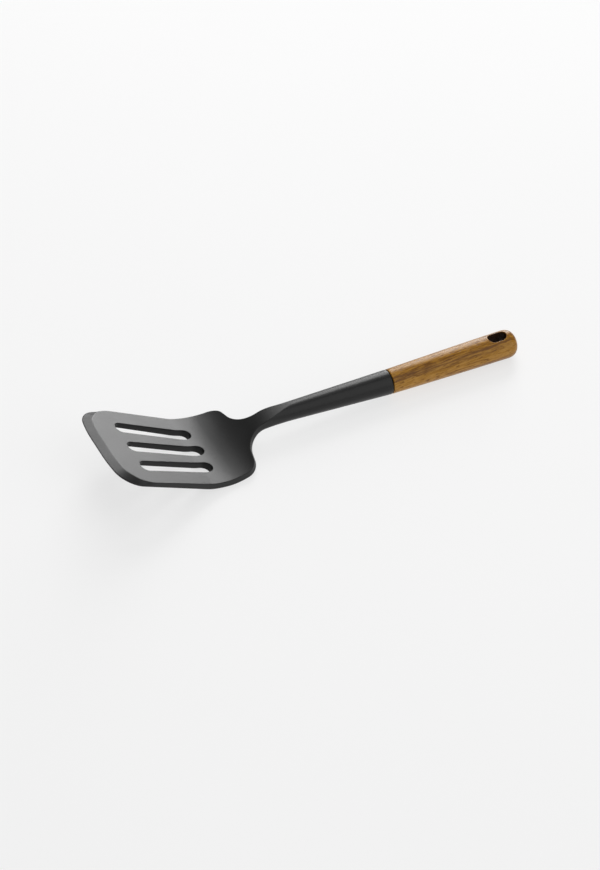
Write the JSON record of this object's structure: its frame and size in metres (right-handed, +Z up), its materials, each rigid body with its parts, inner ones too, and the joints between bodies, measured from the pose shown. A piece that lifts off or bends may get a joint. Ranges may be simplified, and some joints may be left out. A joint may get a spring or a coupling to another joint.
{
  "type": "kitchen turner",
  "caption": "Slotted kitchen turner: dark silicone blade with a bevelled front, raised heel and round shank, moulded over a stiff core bonded into a round wooden handle with a hang hole.",
  "frame": {"origin": "middle of the bounding box, on the surface that the turner lies on", "axes": "+X along the turner from the blade's front edge to the handle's end, +Y across the blade, +Z up"},
  "size_m": [0.3086, 0.0774, 0.0399],
  "materials": {
    "silicone": "matte dark grey silicone",
    "nylon": "matte glass-filled nylon",
    "epoxy": "cured clear amber adhesive",
    "wood": "oiled acacia"
  },
  "bodies": {
    "root": {"silicone_head": "silicone", "core": "nylon", "epoxy_bond": "epoxy", "wood_handle": "wood"}
  },
  "joints": []
}
